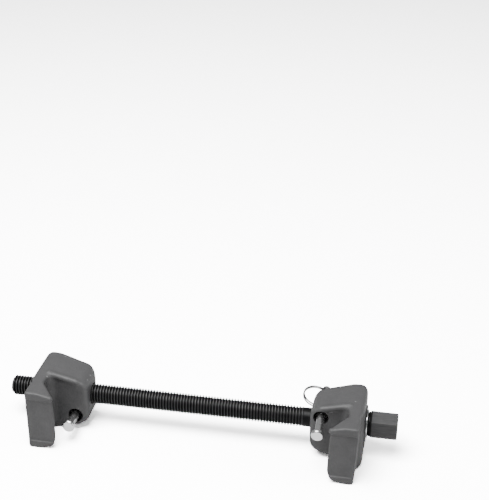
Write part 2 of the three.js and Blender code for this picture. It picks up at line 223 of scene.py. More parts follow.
def sampled_along_out(plane, out, shift):
    """A plan distance read at a place shifted along the screw, by straight interpolation."""
    step = out[1, 0, 0] - out[0, 0, 0]
    place = np.clip((out - shift - out[0, 0, 0]) / step, 0, plane.shape[0] - 1.001)
    low = place.astype(int)
    share = place - low
    columns = np.broadcast_to(np.arange(plane.shape[1])[None, :, None], place.shape)
    return plane[low, columns] * (1 - share) + plane[low + 1, columns] * share


def forging_wave(out, reach, up, phase):
    """The slow unevenness that a hammered die leaves in a forged face."""
    wave = np.sin(out * 410 + phase) * np.sin(reach * 350 + 2 * phase)
    return FACE_WAVE * (wave + np.sin(up * 390 + out * 170 + 3 * phase)) / 2


def new_object(name, mesh):
    thing = bpy.data.objects.new(name, mesh)
    bpy.context.collection.objects.link(thing)
    return thing


def mesh_from(name, points, faces):
    mesh = bpy.data.meshes.new(name)
    mesh.from_pydata([list(map(float, point)) for point in points], [], faces)
    mesh.validate()
    return new_object(name, mesh)


def smooth_shaded(thing, sharp_degrees=35):
    """Smooth faces, with edges kept crisp where two faces meet at more than the given angle."""
    model = bmesh.new()
    model.from_mesh(thing.data)
    bmesh.ops.recalc_face_normals(model, faces=model.faces)
    for face in model.faces:
        face.smooth = True
    sharp_angle = math.radians(sharp_degrees)
    for edge in model.edges:
        edge.smooth = len(edge.link_faces) != 2 or edge.calc_face_angle(0) < sharp_angle
    model.to_mesh(thing.data)
    model.free()
    return thing


def turned(name, profile, sides=64, place=None, closed=False):
    """A turned piece from (radius, along) points, along its local Y, set by the matrix place."""
    points = []
    faces = []
    rows = []
    for radius, along in profile:
        if radius < 1e-7:
            rows.append([len(points)])
            points.append((0, along, 0))
            continue
        rows.append(list(range(len(points), len(points) + sides)))
        for side in range(sides):
            turn = 2 * math.pi * side / sides
            points.append((radius * math.cos(turn), along, radius * math.sin(turn)))
    pairs = list(zip(rows, rows[1:])) + ([(rows[-1], rows[0])] if closed else [])
    for low, high in pairs:
        for side in range(sides):
            after = (side + 1) % sides
            if len(low) == 1:
                faces.append((low[0], high[side], high[after]))
            elif len(high) == 1:
                faces.append((low[side], high[0], low[after]))
            else:
                faces.append((low[side], high[side], high[after], low[after]))
    piece = mesh_from(name, points, faces)
    piece.data.transform(place or Matrix())
    return piece


def cut_with(piece, cutter, operation="DIFFERENCE"):
    """Cuts or joins a solid exactly, and leaves only the result."""
    for solid in (piece, cutter):
        model = bmesh.new()
        model.from_mesh(solid.data)
        bmesh.ops.recalc_face_normals(model, faces=model.faces)
        model.to_mesh(solid.data)
        model.free()
    modifier = piece.modifiers.new("cut", "BOOLEAN")
    modifier.operation = operation
    modifier.solver = "EXACT"
    modifier.object = cutter
    graph = bpy.context.evaluated_depsgraph_get()
    result = bpy.data.meshes.new_from_object(piece.evaluated_get(graph))
    piece.modifiers.clear()
    piece.data = result
    bpy.data.objects.remove(cutter)


def pin_place(node, up_sign):
    """The lock pin's own frame: origin on its head's face, +Y to its tail, +Z to its ball."""
    low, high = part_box(node)
    along = Vector(joints[node.replace("_jaw_lock_pin", "_pin_slide")]["axis"]).normalized()
    head_radius = (high[0] - low[0]) / 2
    head_y = low[1] + abs(along.z) * head_radius
    head_z = low[2] + along.y * head_radius if up_sign > 0 else high[2] - along.y * head_radius
    ball_side = Vector((0, -abs(along.z), up_sign * along.y))
    across = along.cross(ball_side)
    place = Matrix((across, along, ball_side)).transposed().to_4x4()
    place.translation = Vector(((low[0] + high[0]) / 2, head_y, head_z))
    return place


def forge_jaw(name, facing, bow, lean, spread):
    """A jaw's forging. facing is 1 if the jaw's outer end is at +X, and -1 if it is turned over."""
    low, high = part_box(name)
    width = high[0] - low[0]
    margin = 4 * FORGED_STEP
    out_axis = np.arange(-margin, width + margin, FORGED_STEP)
    reach_axis = np.arange(-JAW_BACK - margin, FINGER_REACH + margin, FORGED_STEP)
    up_axis = np.arange(-JAW_HALF_HEIGHT - margin, JAW_HALF_HEIGHT + margin, FORGED_STEP)
    out, reach, up = np.meshgrid(out_axis, reach_axis, up_axis, indexing="ij")
    wave = forging_wave(out, reach, up, 1.3 * facing)
    field = forging_field(out, reach, up, width, bow, lean, spread, facing) + wave
    grid = openvdb.FloatGrid(1.0)
    grid.copyFromArray(field.astype(np.float32) / FORGED_STEP)
    points, quads = grid.convertToQuads(0.0)
    corner = np.array([out_axis[0], reach_axis[0], up_axis[0]])
    places = points * FORGED_STEP + corner
    inner = low[0] if facing > 0 else high[0]
    world = np.empty_like(places)
    world[:, 0] = inner + facing * places[:, 0]
    world[:, 1] = SCREW_AXIS.y - places[:, 1]
    world[:, 2] = SCREW_AXIS.z + facing * places[:, 2]
    piece = mesh_from(name + "_forging", world, [tuple(int(i) for i in quad) for quad in quads])
    relax = piece.modifiers.new("relax", "SMOOTH")
    relax.iterations = 3
    relax.factor = 0.5
    graph = bpy.context.evaluated_depsgraph_get()
    smoothed = bpy.data.meshes.new_from_object(piece.evaluated_get(graph))
    piece.modifiers.clear()
    piece.data = smoothed
    return piece


def bore_profile(radius, start, end, chamfer=0.0005, margin=0.002):
    """A through bore's cutter with a small chamfer at both mouths, as (radius, along) points."""
    return [
        (0, start - margin),
        (radius + chamfer + margin, start - margin),
        (radius, start + chamfer),
        (radius, end - chamfer),
        (radius + chamfer + margin, end + margin),
        (0, end + margin),
    ]


ALONG_SCREW = Matrix.Rotation(-math.pi / 2, 4, "Z")
PIN_BORE_RADIUS = 0.003475
COUNTERBORE_RADIUS = 0.00535
COUNTERBORE_DEPTH = 0.006
PIN_STAND_OUT = {"plain_jaw": 0.022, "threaded_jaw": 0.019}
SCREW_BORE_RADIUS = {"plain_jaw": 0.00834, "threaded_jaw": 0.00824}
SPOTFACE_RADIUS = 0.0151
SPOTFACE_DEPTH = 0.0013
PAST_THE_JAW = 0.14
PIN_BORE_LENGTH = 0.045
PIN_HOLE_LEAD_IN = 0.006

jaws = {}
for name, facing, bow, lean, spread in (
    ("plain_jaw", 1, 0.0003, 0.055, 0.0),
    ("threaded_jaw", -1, 0.0008, 0.0, 0.0011),
):
    jaw = forge_jaw(name, facing, bow, lean, spread)
    low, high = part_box(name)
    at_axis = Matrix.Translation(Vector((0, SCREW_AXIS.y, SCREW_AXIS.z))) @ ALONG_SCREW
    radius = SCREW_BORE_RADIUS[name]
    bore_end = high[0] - SPOTFACE_DEPTH * (name == "plain_jaw")
    cut_with(jaw, turned("screw_bore", bore_profile(radius, low[0], bore_end), 96, at_axis))
    if name == "plain_jaw":
        floor_at = high[0] - SPOTFACE_DEPTH
        spotface = [(0, floor_at), (SPOTFACE_RADIUS, floor_at), (SPOTFACE_RADIUS, PAST_THE_JAW),
                    (0, PAST_THE_JAW)]
        cut_with(jaw, turned("spotface", spotface, 96, at_axis))
    place = pin_place(name + "_lock_pin", facing)
    mouth = PIN_STAND_OUT[name]
    pin_hole = [
        (0, mouth - PIN_HOLE_LEAD_IN),
        (COUNTERBORE_RADIUS + 0.0012, mouth - PIN_HOLE_LEAD_IN),
        (COUNTERBORE_RADIUS + 0.0005, mouth - 0.0004),
        (COUNTERBORE_RADIUS, mouth + 0.0006),
        (COUNTERBORE_RADIUS, mouth + COUNTERBORE_DEPTH - 0.0012),
        (PIN_BORE_RADIUS, mouth + COUNTERBORE_DEPTH),
        (PIN_BORE_RADIUS, mouth + PIN_BORE_LENGTH),
        (0, mouth + PIN_BORE_LENGTH),
    ]
    cut_with(jaw, turned("pin_hole", pin_hole, 64, place))
    smooth_shaded(jaw, 38)
    jaws[name] = jaw


def effect_group(name, inputs, outputs):
    """An empty shader node group with named inputs (name, kind, value) and outputs (name, kind)."""
    group = bpy.data.node_groups.new(name, "ShaderNodeTree")
    for label, kind, value in inputs:
        socket = group.interface.new_socket(name=label, in_out="INPUT", socket_type=kind)
        socket.default_value = value
    for label, kind in outputs:
        group.interface.new_socket(name=label, in_out="OUTPUT", socket_type=kind)
    return group, group.nodes.new("NodeGroupInput"), group.nodes.new("NodeGroupOutput")


def math_node(tree, operation, first, second=None, clamp=False):
    node = tree.nodes.new("ShaderNodeMath")
    node.operation = operation
    node.use_clamp = clamp
    for socket, value in zip(node.inputs, (first, second)):
        if value is None:
            continue
        if isinstance(value, (int, float)):
            socket.default_value = value
        else:
            tree.links.new(value, socket)
    return node.outputs[0]


def noise_node(tree, vector, scale, detail=3.0, roughness=0.55):
    node = tree.nodes.new("ShaderNodeTexNoise")
    node.inputs["Detail"].default_value = detail
    node.inputs["Roughness"].default_value = roughness
    tree.links.new(vector, node.inputs["Vector"])
    if isinstance(scale, (int, float)):
        node.inputs["Scale"].default_value = scale
    else:
        tree.links.new(scale, node.inputs["Scale"])
    return node.outputs["Fac"]


def blend_colours(tree, mask, first, second):
    node = tree.nodes.new("ShaderNodeMix")
    node.data_type = "RGBA"
    tree.links.new(mask, node.inputs["Factor"])
    for socket, value in ((node.inputs[6], first), (node.inputs[7], second)):
        if isinstance(value, tuple):
            socket.default_value = (*value, 1)
        else:
            tree.links.new(value, socket)
    return node.outputs[2]


FLOAT = "NodeSocketFloat"

# Grain: the fine pitted skin that blasting leaves, and slow blotches in its tone.
grain, grain_in, grain_out = effect_group(
    "blasted_grain",
    [("Pit Scale", FLOAT, 1500.0), ("Blotch Scale", FLOAT, 90.0)],
    [("Height", FLOAT), ("Blotch", FLOAT)],
)
coordinate = grain.nodes.new("ShaderNodeTexCoord").outputs["Object"]
pits = noise_node(grain, coordinate, grain_in.outputs["Pit Scale"], 4.0, 0.65)
blotch = noise_node(grain, coordinate, grain_in.outputs["Blotch Scale"], 5.0, 0.6)
swell = noise_node(grain, coordinate, 420.0, 2.0)
grain.links.new(math_node(grain, "ADD", pits, swell), grain_out.inputs["Height"])
grain.links.new(blotch, grain_out.inputs["Blotch"])

# Edge wear and painted highlight: how far a corner is lightened, partly as coating worn back
# and partly as a painted highlight along the edge, broken up so that it isn't even.
wear_and_highlight, wear_and_highlight_in, wear_and_highlight_out = effect_group(
    "edge_wear_and_highlight",
    [("Start", FLOAT, 0.52), ("Spread", FLOAT, 0.06), ("Breakup", FLOAT, 0.5)],
    [("Mask", FLOAT)],
)
coordinate = wear_and_highlight.nodes.new("ShaderNodeTexCoord").outputs["Object"]
pointed = wear_and_highlight.nodes.new("ShaderNodeNewGeometry").outputs["Pointiness"]
risen = math_node(wear_and_highlight, "SUBTRACT", pointed, wear_and_highlight_in.outputs["Start"])
risen = math_node(wear_and_highlight, "DIVIDE", risen, wear_and_highlight_in.outputs["Spread"], clamp=True)
broken = noise_node(wear_and_highlight, coordinate, 700.0, 4.0, 0.7)
kept = math_node(wear_and_highlight, "MULTIPLY", broken, wear_and_highlight_in.outputs["Breakup"])
kept = math_node(wear_and_highlight, "SUBTRACT", 1.0, kept)
wear_and_highlight.links.new(math_node(wear_and_highlight, "MULTIPLY", risen, kept, clamp=True), wear_and_highlight_out.inputs["Mask"])


def metal_finish(name, metallic, roughness, specular=0.5):
    """A new material with its Principled shader, and the values that are even all over it."""
    material = bpy.data.materials.new(name)
    material.use_nodes = True
    tree = material.node_tree
    shader = tree.nodes["Principled BSDF"]
    shader.inputs["Metallic"].default_value = metallic
    shader.inputs["Roughness"].default_value = roughness
    shader.inputs["Specular IOR Level"].default_value = specular
    return material, tree, shader


def placed_group(tree, group, **values):
    node = tree.nodes.new("ShaderNodeGroup")
    node.node_tree = group
    for label, value in values.items():
        node.inputs[label.replace("_", " ")].default_value = value
    return node


def varied(tree, mask, low, high):
    """A number that runs from low to high as the mask runs from 0 to 1."""
    node = tree.nodes.new("ShaderNodeMapRange")
    node.inputs["To Min"].default_value = low
    node.inputs["To Max"].default_value = high
    tree.links.new(mask, node.inputs["Value"])
    return node.outputs["Result"]


def bumped(tree, shader, height, strength, distance):
    node = tree.nodes.new("ShaderNodeBump")
    node.inputs["Strength"].default_value = strength
    node.inputs["Distance"].default_value = distance
    tree.links.new(height, node.inputs["Height"])
    tree.links.new(node.outputs["Normal"], shader.inputs["Normal"])


PHOSPHATE_DARK = (0.038, 0.038, 0.039)
PHOSPHATE_LIGHT = (0.064, 0.064, 0.065)
# Edge colour: partly bare steel where the coating is worn, partly a painted highlight.
EDGE_WEAR_AND_HIGHLIGHT = (0.20, 0.20, 0.20)

phosphate, tree, shader = metal_finish("forged_grey_phosphate", 0.15, 0.5, 0.4)
skin = placed_group(tree, grain, Pit_Scale=1700.0, Blotch_Scale=70.0)
edge = placed_group(tree, wear_and_highlight, Start=0.54, Spread=0.09, Breakup=0.35)
tone = blend_colours(tree, skin.outputs["Blotch"], PHOSPHATE_DARK, PHOSPHATE_LIGHT)
# The jaw's edges are lightened as wear and as a painted highlight along them.
colour = blend_colours(tree, edge.outputs["Mask"], tone, EDGE_WEAR_AND_HIGHLIGHT)
tree.links.new(colour, shader.inputs["Base Color"])
tree.links.new(varied(tree, skin.outputs["Blotch"], 0.62, 0.44), shader.inputs["Roughness"])
bumped(tree, shader, skin.outputs["Height"], 0.7, 0.00030)

# The machined bores' faces are coloured near black.
near_black_bore, tree, shader = metal_finish("near_black_bore_steel", 0.3, 0.4)
skin = placed_group(tree, grain, Pit_Scale=1200.0, Blotch_Scale=300.0)
tone = blend_colours(tree, skin.outputs["Blotch"], (0.004, 0.004, 0.004), (0.02, 0.02, 0.02))
tree.links.new(tone, shader.inputs["Base Color"])
tree.links.new(varied(tree, skin.outputs["Blotch"], 0.35, 0.5), shader.inputs["Roughness"])

for name, jaw in jaws.items():
    place = pin_place(name + "_lock_pin", 1 if name == "plain_jaw" else -1)
    to_pin = place.inverted()
    jaw.data.materials.clear()
    jaw.data.materials.append(phosphate)
    jaw.data.materials.append(near_black_bore)
    for face in jaw.data.polygons:
        from_pin = to_pin @ face.center
        in_pin_hole = math.hypot(from_pin.x, from_pin.z) < COUNTERBORE_RADIUS + 0.0003
        from_screw = math.hypot(face.center.y - SCREW_AXIS.y, face.center.z - SCREW_AXIS.z)
        in_screw_bore = from_screw < SCREW_BORE_RADIUS[name] + 0.0002
        # Faces inside the screw bore and the pin's bore and counterbore take the near-black colour.
        face.material_index = int(in_pin_hole or in_screw_bore)
    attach(jaw, name + "_body")
    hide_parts(name)

# ---- Forcing screw ----------------------------------------------------------------------
# One piece of alloy steel: a rolled 5/8-11 right-hand thread, a plain shank, a thin collar and
# a 3/4 inch hex. It is black oxide, lightened along the crests as wear and a painted glint, and
# on the hex's corners as wear and a painted highlight.

THREAD_PITCH = 0.0254 / 11
THREAD_RADIUS = 0.00785
THREAD_ROOT_RADIUS = 0.00655
SHANK_RADIUS = 0.00735
COLLAR_RADIUS = 0.0093
HEX_HALF_FLATS = 0.009525
HEX_ROLL = math.radians(19)
HEX_LENGTH = 0.0205
COLLAR_LENGTH = 0.0015
SHANK_LENGTH = 0.0462
HEX_NECK = 0.0013
END_CENTRE_RADIUS = 0.0035
SCREW_SIDES = 48
TIP_CHAMFER = 0.0016
RUN_OUT = 4.2 * THREAD_PITCH
THREAD_ROWS = ((0.0, 0.0), (0.13, 0.0), (0.43, 1.0), (0.5, 1.0), (0.57, 1.0), (0.87, 0.0))

head_end = screw_high.x - SCREW_TIP
collar_at = head_end - HEX_LENGTH - COLLAR_LENGTH
thread_end = collar_at - SHANK_LENGTH


def thread_radius(along, height):
    """The thread's radius at a place along the screw and a height from root to crest."""
    radius = THREAD_ROOT_RADIUS + (THREAD_RADIUS - THREAD_ROOT_RADIUS) * height
    chamfer = THREAD_RADIUS - TIP_CHAMFER + along * 1.1
    fade = ease(thread_end - RUN_OUT, thread_end, along)
    return float(min(radius, chamfer) * (1 - fade) + SHANK_RADIUS * fade)


def screw_mesh():
    """The whole screw as one skin: a helical thread, then round rings, then the hex."""
    points = []
    faces = []
    crest_wear_and_glint = []

    def add_point(along, turn, radius, wear_and_glint_here):
        angle = HEX_ROLL + 2 * math.pi * turn / SCREW_SIDES
        points.append((SCREW_TIP + along, SCREW_AXIS.y + radius * math.cos(angle),
                       SCREW_AXIS.z + radius * math.sin(angle)))
        crest_wear_and_glint.append(wear_and_glint_here)
        return len(points) - 1

    def add_ring(along, radius_at, wear_and_glint_here):
        return [add_point(along, side, radius_at(side), wear_and_glint_here) for side in range(SCREW_SIDES)]

    def join_rings(low, high):
        for side in range(SCREW_SIDES):
            after = (side + 1) % SCREW_SIDES
            faces.append((low[side], high[side], high[after], low[after]))

    rows_per_turn = len(THREAD_ROWS)
    turns = int(thread_end / THREAD_PITCH) - 1
    row_count = turns * rows_per_turn + 1
    helix = []
    for row in range(row_count):
        phase, height = THREAD_ROWS[row % rows_per_turn]
        line = []
        for side in range(SCREW_SIDES):
            along = THREAD_PITCH * (row // rows_per_turn + phase + side / SCREW_SIDES)
            line.append(add_point(along, side, thread_radius(along, height), height))
        helix.append(line)
    for row in range(row_count - 1):
        for side in range(SCREW_SIDES - 1):
            low, high = helix[row], helix[row + 1]
            faces.append((low[side], high[side], high[side + 1], low[side + 1]))
        if row + 1 + rows_per_turn < row_count:
            low, high = helix[row], helix[row + 1]
            next_low, next_high = helix[row + rows_per_turn], helix[row + rows_per_turn + 1]
            faces.append((low[-1], high[-1], next_high[0], next_low[0]))

    tip_ring = [add_point(-0.00001, side, THREAD_RADIUS - TIP_CHAMFER - 0.0002, 0.2)
                for side in range(SCREW_SIDES)]
    first = helix[0]
    for side in range(SCREW_SIDES - 1):
        faces.append((tip_ring[side], first[side], first[side + 1], tip_ring[side + 1]))
    seam = [helix[row][0] for row in range(rows_per_turn + 1)]
    faces.append((tip_ring[0], tip_ring[-1], first[-1], *reversed(seam)))

    last_row = row_count - 1
    last = helix[last_row]
    after_thread = THREAD_PITCH * (turns + 1) + 0.0004
    end_ring = add_ring(after_thread, lambda side: thread_radius(after_thread, 0), 0.0)
    for side in range(SCREW_SIDES - 1):
        faces.append((last[side], end_ring[side], end_ring[side + 1], last[side + 1]))
    seam = [helix[row][-1] for row in range(last_row - rows_per_turn, last_row + 1)]
    faces.append((*seam, end_ring[-1], end_ring[0], last[0]))

    def hex_radius(side, ceiling):
        from_flat = (side % (SCREW_SIDES // 6)) / (SCREW_SIDES / 6) - 0.5
        corner_radius = HEX_HALF_FLATS / math.cos(from_flat * math.pi / 3)
        return min(corner_radius, ceiling)

    corner = HEX_HALF_FLATS / math.cos(math.pi / 6)
    hex_at = collar_at + COLLAR_LENGTH
    shank = [
        (thread_end, SHANK_RADIUS, 0.1),
        (collar_at - 0.0012, SHANK_RADIUS, 0.1),
        (collar_at - 0.0003, SHANK_RADIUS + 0.0004, 0.0),
        (collar_at, SHANK_RADIUS + 0.0012, 0.0),
        (collar_at, COLLAR_RADIUS - 0.0003, 0.0),
        (collar_at + 0.0003, COLLAR_RADIUS, 0.5),
        (hex_at - 0.0002, COLLAR_RADIUS, 0.3),
        (hex_at, COLLAR_RADIUS - 0.0002, 0.0),
    ]
    ring = end_ring
    for along, radius, wear_and_glint_here in shank:
        following = add_ring(along, lambda side: radius, wear_and_glint_here)
        join_rings(ring, following)
        ring = following
    chamfer_steps = (0.0, 0.25, 0.5, 0.75, 1.0)
    chamfer = 0.0015
    hex_rows = [(hex_at, corner - 0.0004), (hex_at + 0.0003, corner)]
    hex_rows += [(hex_at + HEX_NECK, corner), (hex_at + HEX_NECK + 0.0001, corner)]
    hex_rows += [(head_end - chamfer * 0.6 * step, corner - chamfer * (1 - step))
                 for step in reversed(chamfer_steps)]
    for along, ceiling in hex_rows:
        following = add_ring(along, lambda side: hex_radius(side, ceiling), 0.35)
        join_rings(ring, following)
        ring = following
    for low, along, flip in ((tip_ring, 0.0, True), (ring, head_end, False)):
        inner = add_ring(along, lambda side: END_CENTRE_RADIUS, 0.0)
        join_rings(*((inner, low) if flip else (low, inner)))
        centre = add_point(along, 0, 0.0, 0.0)
        for side in range(SCREW_SIDES):
            faces.append((inner[side], inner[(side + 1) % SCREW_SIDES], centre))
    return points, faces, crest_wear_and_glint


points, faces, crest_wear_and_glint = screw_mesh()
screw = bpy.data.meshes.new("forcing_screw_body")
screw.from_pydata(points, [], faces)
# Crest height per point, which the oxide uses to paint a glint and wear along the crests.
screw.attributes.new("crest_wear_and_glint", "FLOAT", "POINT").data.foreach_set("value", crest_wear_and_glint)
screw = new_object("forcing_screw_body", screw)
smooth_shaded(screw, 30)

OXIDE_BLACK = (0.003, 0.003, 0.0031)
OXIDE_WORN = (0.010, 0.010, 0.0103)
# Crest colour: partly worn bright steel, partly a painted glint.
CREST_WEAR_AND_GLINT = (0.07, 0.07, 0.071)

oxide, tree, shader = metal_finish("black_oxide_steel", 0.4, 0.38, 0.1)
skin = placed_group(tree, grain, Pit_Scale=2200.0, Blotch_Scale=160.0)
crest = tree.nodes.new("ShaderNodeAttribute")
crest.attribute_name = "crest_wear_and_glint"
risen = tree.nodes.new("ShaderNodeMapRange")
risen.inputs["From Min"].default_value = 0.86
risen.inputs["From Max"].default_value = 1.0
tree.links.new(crest.outputs["Fac"], risen.inputs["Value"])
patchy = varied(tree, skin.outputs["Blotch"], 0.35, 1.2)
mask = math_node(tree, "MULTIPLY", risen.outputs["Result"], patchy)
tone = blend_colours(tree, skin.outputs["Blotch"], OXIDE_BLACK, OXIDE_WORN)
# The crests are lightened as wear and as a painted glint where they catch the light.
colour = blend_colours(tree, mask, tone, CREST_WEAR_AND_GLINT)
tree.links.new(colour, shader.inputs["Base Color"])
tree.links.new(varied(tree, skin.outputs["Blotch"], 0.3, 0.5), shader.inputs["Roughness"])
bumped(tree, shader, skin.outputs["Height"], 0.3, 0.0001)

# The hex is ground after blackening: dark grey with a lengthways grain, and corners lightened
# partly as wear and partly as a painted highlight.
hex_steel, tree, shader = metal_finish("ground_hex_steel", 0.1, 0.6, 0.2)
skin = placed_group(tree, grain, Pit_Scale=1600.0, Blotch_Scale=260.0)
edge = placed_group(tree, wear_and_highlight, Start=0.53, Spread=0.10, Breakup=0.9)
coordinate = tree.nodes.new("ShaderNodeTexCoord").outputs["Object"]
stretch = tree.nodes.new("ShaderNodeMapping")
stretch.inputs["Scale"].default_value = (90, 1500, 1500)
tree.links.new(coordinate, stretch.inputs["Vector"])
scratch = noise_node(tree, stretch.outputs["Vector"], 1.0, 4.0, 0.7)
tone = blend_colours(tree, scratch, (0.006, 0.006, 0.0062), (0.066, 0.066, 0.067))
# The hex's corners are lightened as wear and as a painted highlight along them.
colour = blend_colours(tree, edge.outputs["Mask"], tone, (0.11, 0.11, 0.11))
tree.links.new(colour, shader.inputs["Base Color"])
tree.links.new(varied(tree, scratch, 0.55, 0.4), shader.inputs["Roughness"])
bumped(tree, shader, scratch, 0.35, 0.00012)

screw.data.materials.append(oxide)
screw.data.materials.append(hex_steel)
for face in screw.data.polygons:
    face.material_index = int(face.center.x > SCREW_TIP + collar_at + COLLAR_LENGTH + HEX_NECK)
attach(screw, "screw_body")
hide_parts("forcing_screw")

# ---- Washers ----------------------------------------------------------------------------
# A hardened black washer turns against the jaw, and a thinner zinc-plated one against the
# collar. Both are blanked, so one face's edges are rounded and the other's are crisp.

WASHER_BORE_RADIUS = 0.0084375
WASHER_EDGE_BREAK = 0.0001


def washer(name, node, round_over):
    """A blanked washer. round_over is how far its outer face's edges are rounded."""
    low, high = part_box(node)
    outer = (high[1] - low[1]) / 2
    bore = WASHER_BORE_RADIUS
    middle = (high[2] + low[2]) / 2
    at_axis = Matrix.Translation(Vector((0, SCREW_AXIS.y, middle))) @ ALONG_SCREW
    profile = [
        (bore, low[0] + WASHER_EDGE_BREAK),
        (bore + WASHER_EDGE_BREAK, low[0]),
        (outer - WASHER_EDGE_BREAK, low[0]),
        (outer, low[0] + WASHER_EDGE_BREAK),
        (outer, high[0] - round_over),
        (outer - round_over * 0.3, high[0] - round_over * 0.3),
        (outer - round_over, high[0]),
        (bore + round_over, high[0]),
        (bore, high[0] - round_over),
    ]
    piece = smooth_shaded(turned(name, profile, 96, at_axis, closed=True))
    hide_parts(node)
    return piece


blackened, tree, shader = metal_finish("blackened_washer_steel", 0.6, 0.42)
skin = placed_group(tree, grain, Pit_Scale=1900.0, Blotch_Scale=200.0)
edge = placed_group(tree, wear_and_highlight, Start=0.53, Spread=0.08, Breakup=0.6)
tone = blend_colours(tree, skin.outputs["Blotch"], (0.010, 0.010, 0.011), (0.035, 0.035, 0.036))
# The black washer's edges are lightened as wear and as a painted highlight on its rim.
colour = blend_colours(tree, edge.outputs["Mask"], tone, (0.15, 0.15, 0.15))
tree.links.new(colour, shader.inputs["Base Color"])
tree.links.new(varied(tree, skin.outputs["Blotch"], 0.35, 0.55), shader.inputs["Roughness"])
bumped(tree, shader, skin.outputs["Height"], 0.25, 0.0001)

zinc, tree, shader = metal_finish("bright_zinc_plate", 1.0, 0.24)
skin = placed_group(tree, grain, Pit_Scale=900.0, Blotch_Scale=240.0)
tone = blend_colours(tree, skin.outputs["Blotch"], (0.58, 0.585, 0.59), (0.80, 0.80, 0.80))
tree.links.new(tone, shader.inputs["Base Color"])
tree.links.new(varied(tree, skin.outputs["Blotch"], 0.16, 0.34), shader.inputs["Roughness"])
bumped(tree, shader, skin.outputs["Height"], 0.2, 0.00008)

load_washer = washer("load_washer_disc", "load_washer", 0.0004)
load_washer.data.materials.append(blackened)
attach(load_washer, "load_washer_body")
thrust_washer = washer("thrust_washer_disc", "thrust_washer", 0.0002)
thrust_washer.data.materials.append(zinc)
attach(thrust_washer, "thrust_washer_body")

# ---- Lock pins --------------------------------------------------------------------------
# Turned steel pins, zinc plated. Each has a chamfered head with an undercut behind it, a blind
# pocket for the ball, and a cross hole near its domed tail for the pull ring.

PIN_RADIUS = 0.003175
PIN_HEAD_LENGTH = 0.0032
DETENT_FROM_HEAD = 0.024
BALL_RADIUS = 0.0015875
BALL_POCKET_RADIUS = 0.0017075
BALL_POCKET_FLOOR = -0.002175
RING_HOLE_RADIUS = 0.0018
TAIL_PAST_HOLE = 0.0042
DOME_HEIGHT = 0.0014
UNDERCUT_DEPTH = 0.0003

for jaw_name, facing in (("plain_jaw", 1), ("threaded_jaw", -1)):
    node = jaw_name + "_lock_pin"
    place = pin_place(node, facing)
    low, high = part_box(node)
    along = place.col[1].to_3d()
    ring_joint = joints[jaw_name.replace("_jaw", "_ring_swing")]
    hole = Vector(ring_joint["pos_m"])
    hole_at = (hole - place.translation).dot(along)
    length = hole_at + TAIL_PAST_HOLE
    head = (high[0] - low[0]) / 2
    dome = [(PIN_RADIUS * math.cos(turn), length - DOME_HEIGHT + DOME_HEIGHT * math.sin(turn))
            for turn in np.linspace(0, math.pi / 2, 7)[:-1]]
    profile = [
        (0, 0.00005),
        (head * 0.45, 0),
        (head - 0.0008, 0.0001),
        (head - 0.0002, 0.0006),
        (head, 0.0010),
        (head, PIN_HEAD_LENGTH - 0.0005),
        (head - 0.0004, PIN_HEAD_LENGTH),
        (PIN_RADIUS - UNDERCUT_DEPTH, PIN_HEAD_LENGTH),
        (PIN_RADIUS - UNDERCUT_DEPTH, PIN_HEAD_LENGTH + 0.0009),
        (PIN_RADIUS, PIN_HEAD_LENGTH + 0.0013),
        *dome,
        (0, length),
    ]
    pin = turned(node + "_shank", profile, 64, place)
    swing_axis = Vector(ring_joint["axis"]).normalized()
    across_hole = Matrix.Translation(hole) @ swing_axis.to_track_quat("Y", "Z").to_matrix().to_4x4()
    ring_hole = bore_profile(RING_HOLE_RADIUS, -PIN_RADIUS, PIN_RADIUS, 0.0002)
    cut_with(pin, turned("ring_hole", ring_hole, 40, across_hole))
    upright = Matrix.Rotation(math.pi / 2, 4, "X")
    pocket_place = place @ Matrix.Translation(Vector((0, DETENT_FROM_HEAD, 0))) @ upright
    pocket = [
        (0, BALL_POCKET_FLOOR),
        (BALL_POCKET_RADIUS, BALL_POCKET_FLOOR),
        (BALL_POCKET_RADIUS, 2 * PIN_RADIUS),
        (0, 2 * PIN_RADIUS),
    ]
    cut_with(pin, turned("ball_pocket", pocket, 40, pocket_place))
    smooth_shaded(pin, 32)
    pin.data.materials.clear()
    pin.data.materials.append(zinc)
    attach(pin, jaw_name.replace("_jaw", "_pin_body"))
    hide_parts(node)

# ---- Pull rings -------------------------------------------------------------------------
# Split rings: two turns of nickel-plated spring wire lying side by side, with a short step
# where each turn crosses over and blunt ends. Each hangs in the pin's cross hole.

WIRE_RADIUS = 0.00060
TURNS_SPRUNG_APART = math.radians(5.5)
WIRE_SIDES = 12
RING_STEPS = 220
TURN_SPACING = 0.0011
WOUND_SHARE = 0.985
RING_START = math.radians(100)

nickel, tree, shader = metal_finish("nickel_plated_wire", 1.0, 0.3)
skin = placed_group(tree, grain, Pit_Scale=1400.0, Blotch_Scale=320.0)
tone = blend_colours(tree, skin.outputs["Blotch"], (0.17, 0.17, 0.175), (0.34, 0.34, 0.335))
tree.links.new(tone, shader.inputs["Base Color"])
tree.links.new(varied(tree, skin.outputs["Blotch"], 0.22, 0.4), shader.inputs["Roughness"])
bumped(tree, shader, skin.outputs["Height"], 0.2, 0.00006)


